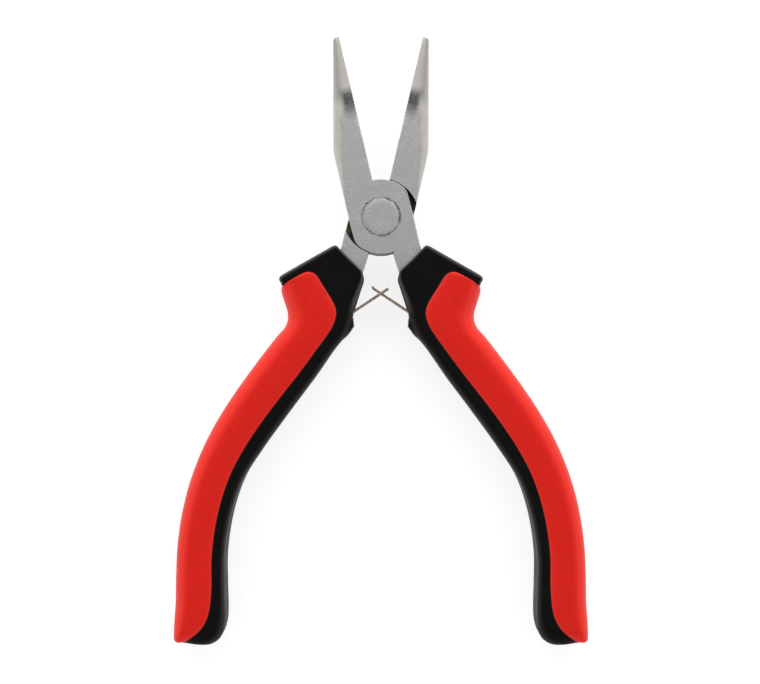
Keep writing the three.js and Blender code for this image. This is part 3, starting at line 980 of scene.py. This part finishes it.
def ground_flat(name, colour):
    """Flat faces off the grinder: short fine scratches across the head, stained by the rivet."""
    finish = Finish(name, Metallic=1.0, Roughness=0.4)
    own = finish.own_frame
    grain = finish.noise(finish.stretched(own, (1100, 3400, 900)), 1.0, 3.0, 0.6)
    speckle = finish.noise(own, 3000, 3.0, 0.75)
    cloud = finish.noise(own, 260, 2.0)
    mark = finish.weighted(grain, 0.35, speckle, 0.65)
    mark = finish.ranged(mark, 0.38, 0.62)
    base = finish.mixed(mark, tint(colour, 0.8), tint(colour, 1.17))
    base = finish.mixed(finish.ranged(cloud, 0.35, 0.7), base, tint(colour, 0.93))
    # Rust and dirt that has gathered in the ring round the rivet.
    plan = finish.stretched(own, (1, 1, 0))
    out = finish.node("VectorMath", {0: plan}, operation="LENGTH").outputs["Value"]
    ring = finish.math("ABSOLUTE", finish.math("SUBTRACT", out, STAIN_RADIUS))
    patchy = finish.ranged(finish.noise(own, 900, 4.0, 0.7), 0.46, 0.6)
    stain = finish.math("MULTIPLY", finish.ranged(ring, 0.00006, 0.00042, 1.0, 0.0, True), patchy)
    base = finish.mixed(finish.math("MULTIPLY", stain, 0.85), base, (0.07, 0.04, 0.022))
    # Painted shade where the flat rolls over into the nose.
    base = finish.mixed(painted_nose_shade(finish, mark), base, NOSE_PAINTED_SHADE)
    return finish.done(base, finish.ranged(mark, 0.0, 1.0, 0.36, 0.5), mark, 0.25, 0.00001)


def painted_nose_shade(finish, grain):
    """Painted shade: a dark reflection painted into the colour where the flat rolls over into the
    nose, most of all along the gripping side.
    """
    x, y, _ = finish.split(finish.own_frame)
    shade = finish.math(
        "MULTIPLY",
        finish.ranged(y, 0.0204, 0.0258, 0.0, 1.0, True),
        finish.ranged(y, 0.0266, 0.0292, 1.0, 0.0, True),
    )
    shade = finish.math("MULTIPLY", shade, finish.ranged(x, -0.0031, -0.0018, 0.0, 1.0, True))
    return finish.math("MULTIPLY", shade, finish.ranged(grain, 0.0, 1.0, 1.1, 0.82))


def polished_band(name, colour):
    """The outer bands and noses, linished along their length."""
    finish = Finish(name, Metallic=1.0, Roughness=0.4)
    own = finish.own_frame
    streak = finish.noise(finish.stretched(own, (4200, 320, 4200)), 1.0, 3.0, 0.6)
    cloud = finish.noise(own, 300, 2.0)
    base = finish.mixed(finish.ranged(streak, 0.3, 0.7), tint(colour, 0.9), tint(colour, 1.08))
    base = finish.mixed(finish.ranged(cloud, 0.45, 0.7), base, tint(colour, 0.9))
    # The noses are a little darker than the bands.
    nose = finish.ranged(finish.split(own)[1], 0.0240, 0.0280, 0.0, 1.0, True)
    base = finish.mixed(nose, base, tint(colour, 0.72))
    # Painted shade where the band rolls over into the nose.
    base = finish.mixed(painted_nose_shade(finish, streak), base, NOSE_PAINTED_SHADE)
    return finish.done(base, finish.ranged(streak, 0.3, 0.7, 0.36, 0.48), streak, 0.15, 0.00001)


def bearing_face(name, colour):
    """Oiled, unpolished faces inside the joint, browned here and there."""
    finish = Finish(name, Metallic=0.9, Roughness=0.5)
    own = finish.own_frame
    patch = finish.noise(own, 900, 4.0, 0.65)
    base = finish.mixed(finish.ranged(patch, 0.4, 0.65), tint(colour, 0.3), tint(colour, 2.4))
    return finish.done(base, finish.ranged(patch, 0.3, 0.7, 0.4, 0.65), patch, 0.3, 0.00003)


def spring_strip(name, colour):
    """Tempered strip, brownish, with faint lines along it."""
    finish = Finish(name, Metallic=1.0, Roughness=0.32)
    own = finish.own_frame
    line = finish.noise(finish.stretched(own, (900, 900, 9000)), 1.0, 2.0)
    patch = finish.noise(own, 1100, 3.0, 0.6)
    base = finish.mixed(finish.ranged(line, 0.35, 0.65), tint(colour, 0.8), tint(colour, 1.25))
    base = finish.mixed(finish.ranged(patch, 0.6, 0.75), base, (0.16, 0.09, 0.05))
    return finish.done(base, finish.ranged(patch, 0.3, 0.7, 0.26, 0.5), line, 0.2, 0.00001)


def hard_plastic(name, colour):
    """Hard black moulding with a fine spark-eroded texture."""
    finish = Finish(name, Roughness=0.45, Specular_IOR_Level=0.08)
    own = finish.object_space
    grain = finish.noise(own, 4200, 3.0, 0.6)
    cloud = finish.noise(own, 180, 2.0)
    base = finish.mixed(finish.ranged(grain, 0.35, 0.65), tint(colour, 0.75), tint(colour, 1.4))
    base = finish.mixed(finish.ranged(cloud, 0.5, 0.8), base, tint(colour, 1.7))
    # Painted highlights: paler colour painted wherever the moulding rounds away from the front, most
    # of all round the guard, over a lighter tone painted on its sides.
    guard = finish.ranged(finish.split(finish.own_frame)[1], -0.0215, -0.0185)
    painted_edge_highlight = finish.mixed(guard, CORE_PAINTED_HIGHLIGHT, GUARD_PAINTED_HIGHLIGHT)
    base = finish.mixed(finish.ranged(finish.level_part, 0.1, 0.0), base, CORE_SIDE_PAINTED_LIGHT)
    rounds = finish.math(
        "MULTIPLY",
        finish.ranged(finish.level_part, 0.99, 0.7),
        finish.ranged(finish.level_part, 0.05, 0.45),
    )
    base = finish.mixed(rounds, base, painted_edge_highlight)
    return finish.done(base, finish.ranged(cloud, 0.3, 0.7, 0.44, 0.58), grain, 0.35, 0.00003)


def soft_rubber(name, colour):
    """Soft red moulding: satin, with a close pebble and slight unevenness of colour."""
    finish = Finish(name, Roughness=0.5, Specular_IOR_Level=0.14)
    own = finish.object_space
    pebble = finish.voronoi(own, 2600)
    fine = finish.noise(own, 5200, 2.0, 0.6)
    cloud = finish.noise(own, 420, 3.0, 0.6)
    mark = finish.weighted(pebble, 0.7, fine, 0.5)
    deep = (colour[0] * 0.93, colour[1] * 0.85, colour[2] * 0.85)
    light = (colour[0] * 1.03, colour[1] * 1.25, colour[2] * 1.25)
    base = finish.mixed(finish.ranged(mark, 0.35, 0.85), light, deep)
    base = finish.mixed(finish.ranged(cloud, 0.45, 0.75), base, tint(colour, 0.94))
    # Painted sheen: brighter colour painted as the rubber tilts towards its outer side, and a paler
    # painted highlight where it turns steeper.
    painted_sheen = (min(colour[0] * 1.2, 1), colour[1] * 2.4, colour[2] * 2.5)
    base = finish.mixed(finish.ranged(finish.level_part, 0.998, 0.86), base, painted_sheen)
    painted_steep_highlight = (min(colour[0] * 1.06, 1), colour[1] * 4, colour[2] * 5)
    base = finish.mixed(finish.ranged(finish.level_part, 0.8, 0.3, 0.0, 0.8), base, painted_steep_highlight)
    return finish.done(base, finish.ranged(cloud, 0.3, 0.7, 0.46, 0.58), mark, 0.2, 0.00002)


# ---- Operators -----------------------------------------------


class PliersHalves(bpy.types.Operator):
    """Builds the two forged halves"""

    bl_idname = "pliers.halves"
    bl_label = "Steel halves"

    def execute(self, context):
        steel = context.scene.pliers_steel
        finishes = [
            ground_flat("ground_flat", steel.flat_colour),
            polished_band("polished_band", steel.band_colour),
            bearing_face("bearing_face", steel.bearing_colour),
        ]
        for half in ("front", "back"):
            obj = piece(forging(steel), half + "_forging", half, finishes, 30)
            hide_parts(half + "_half")
            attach(obj, half + "_half")
        return {"FINISHED"}


class PliersRivet(bpy.types.Operator):
    """Builds the flush pivot rivet"""

    bl_idname = "pliers.rivet"
    bl_label = "Pivot rivet"

    def execute(self, context):
        steel = context.scene.pliers_steel
        finish = ground_flat("rivet_flat", steel.flat_colour)
        obj = piece(pivot_rivet(steel), "flush_rivet", "front", [finish], 30)
        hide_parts("pivot_rivet")
        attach(obj, "back_half")
        return {"FINISHED"}


class PliersHardMouldings(bpy.types.Operator):
    """Builds the hard mouldings of both grips"""

    bl_idname = "pliers.hard_mouldings"
    bl_label = "Hard mouldings"

    def execute(self, context):
        steel = context.scene.pliers_steel
        grips = context.scene.pliers_grips
        finish = hard_plastic("hard_black_plastic", grips.core_colour)
        for half, side in (("front", "right"), ("back", "left")):
            obj = piece(hard_moulding(steel, grips), side + "_hard_moulding", half, [finish], 40)
            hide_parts(side + "_grip_core")
            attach(obj, half + "_half")
        return {"FINISHED"}


class PliersSoftMouldings(bpy.types.Operator):
    """Builds the soft mouldings of both grips"""

    bl_idname = "pliers.soft_mouldings"
    bl_label = "Soft mouldings"

    def execute(self, context):
        grips = context.scene.pliers_grips
        finish = soft_rubber("soft_red_rubber", grips.cover_colour)
        for half, side in (("front", "right"), ("back", "left")):
            obj = piece(soft_moulding(grips), side + "_soft_moulding", half, [finish], 50)
            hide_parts(side + "_grip_cover")
            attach(obj, half + "_half")
        return {"FINISHED"}


class PliersLeaves(bpy.types.Operator):
    """Builds the two leaf springs"""

    bl_idname = "pliers.leaves"
    bl_label = "Leaf springs"

    def execute(self, context):
        springs = context.scene.pliers_springs
        finish = spring_strip("spring_strip", springs.leaf_colour)
        for half, side in (("front", "right"), ("back", "left")):
            obj = piece(leaf(springs, side == "right"), side + "_leaf", half, [finish])
            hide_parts(side + "_leaf_spring")
            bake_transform(obj)
        return {"FINISHED"}


class PliersSpringRivets(bpy.types.Operator):
    """Builds the rivets that hold the leaves"""

    bl_idname = "pliers.spring_rivets"
    bl_label = "Spring rivets"

    def execute(self, context):
        springs = context.scene.pliers_springs
        finish = spring_strip("spring_rivet_steel", springs.leaf_colour)
        for half, side in (("front", "right"), ("back", "left")):
            obj = piece(spring_rivet(springs), side + "_leaf_rivet", half, [finish])
            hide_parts(side + "_spring_rivet")
            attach(obj, half + "_half")
        return {"FINISHED"}


class PliersStageSet(bpy.types.Operator):
    """Builds the floor, the lights and the camera"""

    bl_idname = "pliers.stage"
    bl_label = "Stage"

    def execute(self, context):
        stage = context.scene.pliers_stage
        scene = context.scene
        scene.view_settings.view_transform = "Standard"

        bm = bmesh.new()
        bmesh.ops.create_grid(bm, x_segments=1, y_segments=1, size=2.0)
        mesh = bpy.data.meshes.new("floor")
        bm.to_mesh(mesh)
        bm.free()
        paper = Finish("floor_paper", Roughness=0.9, Specular_IOR_Level=0.0)
        paper.shader.inputs["Base Color"].default_value = (*stage.floor_colour, 1)
        paper.shader.inputs["Emission Color"].default_value = (1, 1, 1, 1)
        paper.shader.inputs["Emission Strength"].default_value = 0.8
        mesh.materials.append(paper.material)
        floor = bpy.data.objects.new("floor", mesh)
        scene.collection.objects.link(floor)

        world = bpy.data.worlds.new("studio")
        world.use_nodes = True
        world.node_tree.nodes["Background"].inputs["Color"].default_value = (1, 1, 1, 1)
        world.node_tree.nodes["Background"].inputs["Strength"].default_value = 0.48
        scene.world = world

        for name, size, energy, place in (
            ("back_box", 1.6, 11.5, (0.0, 1.05, 0.62)),
            ("left_box", 0.8, 1.4, (-0.9, 0.1, 0.5)),
            ("right_box", 0.8, 1.4, (0.9, 0.1, 0.5)),
        ):
            light = bpy.data.lights.new(name, "AREA")
            light.size = size
            light.energy = energy
            lamp = bpy.data.objects.new(name, light)
            lamp.location = place
            lamp.rotation_euler = Vector(place).to_track_quat("Z", "Y").to_euler()
            scene.collection.objects.link(lamp)

        camera = bpy.data.cameras.new("camera")
        camera.sensor_width = 36
        camera.lens = camera.sensor_width * stage.camera_height / stage.view_width
        camera.clip_start = 0.01
        eye = bpy.data.objects.new("camera", camera)
        eye.location = (-0.0002, -0.0002, PIVOT.z + stage.camera_height)
        scene.collection.objects.link(eye)
        scene.camera = eye
        return {"FINISHED"}


class PLIERS_PT_panel(bpy.types.Panel):
    """Lists the pliers' pieces and settings"""

    bl_idname = "PLIERS_PT_panel"
    bl_label = "Needle nose pliers"
    bl_space_type = "VIEW_3D"
    bl_region_type = "UI"
    bl_category = "Pliers"

    def draw(self, context):
        for settings in SETTINGS:
            box = self.layout.box()
            group = getattr(context.scene, settings)
            for prop in group.bl_rna.properties:
                if not prop.is_readonly and prop.identifier != "name":
                    box.prop(group, prop.identifier)
        for operator in OPERATORS:
            self.layout.operator(operator.bl_idname)


SETTINGS = {
    "pliers_steel": PliersSteel,
    "pliers_grips": PliersGrips,
    "pliers_springs": PliersSprings,
    "pliers_stage": PliersStage,
}
OPERATORS = (
    PliersHalves,
    PliersRivet,
    PliersHardMouldings,
    PliersSoftMouldings,
    PliersLeaves,
    PliersSpringRivets,
    PliersStageSet,
)


def register():
    for cls in (*SETTINGS.values(), *OPERATORS, PLIERS_PT_panel):
        bpy.utils.register_class(cls)
    for name, group in SETTINGS.items():
        setattr(bpy.types.Scene, name, PointerProperty(type=group))


def unregister():
    for name in SETTINGS:
        delattr(bpy.types.Scene, name)
    for cls in reversed((*SETTINGS.values(), *OPERATORS, PLIERS_PT_panel)):
        bpy.utils.unregister_class(cls)


def main():
    register()
    bpy.ops.pliers.halves()
    bpy.ops.pliers.rivet()
    bpy.ops.pliers.hard_mouldings()
    bpy.ops.pliers.soft_mouldings()
    bpy.ops.pliers.leaves()
    bpy.ops.pliers.spring_rivets()
    bpy.ops.pliers.stage()


if __name__ == "__main__":
    main()
